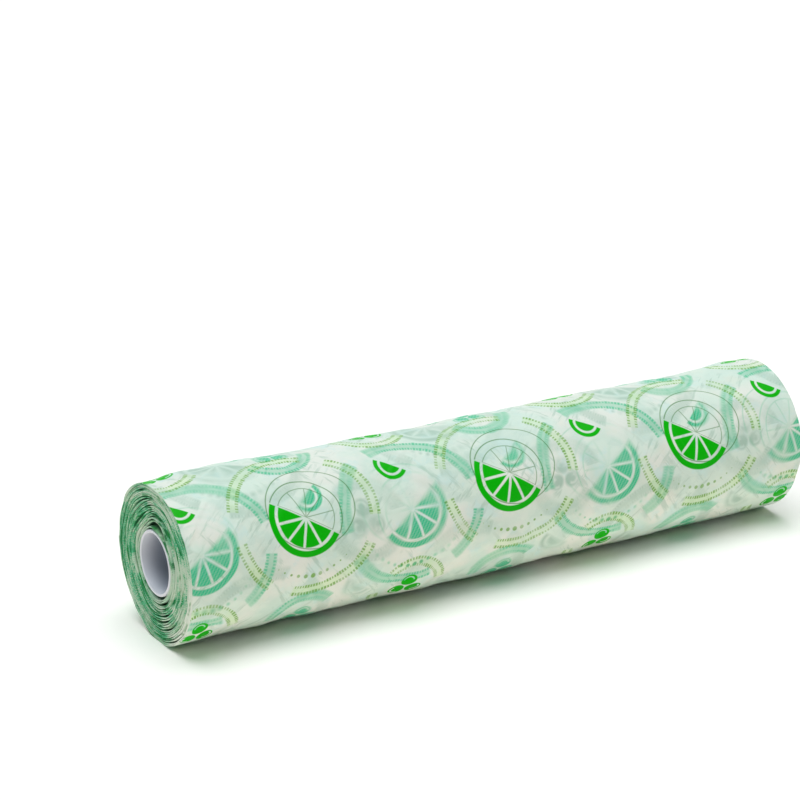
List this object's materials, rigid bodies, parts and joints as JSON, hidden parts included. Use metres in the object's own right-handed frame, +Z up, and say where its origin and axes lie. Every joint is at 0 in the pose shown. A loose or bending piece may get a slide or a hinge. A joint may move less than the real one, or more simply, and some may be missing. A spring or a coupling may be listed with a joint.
{
  "type": "vacuum sealer bag roll",
  "caption": "Roll of embossed lay-flat film tube for vacuum sealer bags, wound on a hollow core, lying on its side.",
  "frame": {"origin": "on the floor, below the axis of the core's bore and half-way along the roll", "axes": "+X along the roll's axis, +Y to the side where the strip's outer end lies, +Z up"},
  "size_m": [0.3, 0.0678, 0.0669],
  "materials": {
    "film": "translucent frosted film, satin, printed green",
    "core": "smooth white plastic"
  },
  "bodies": {
    "root": {"film_roll": "film", "core_tube": "core"}
  },
  "joints": []
}
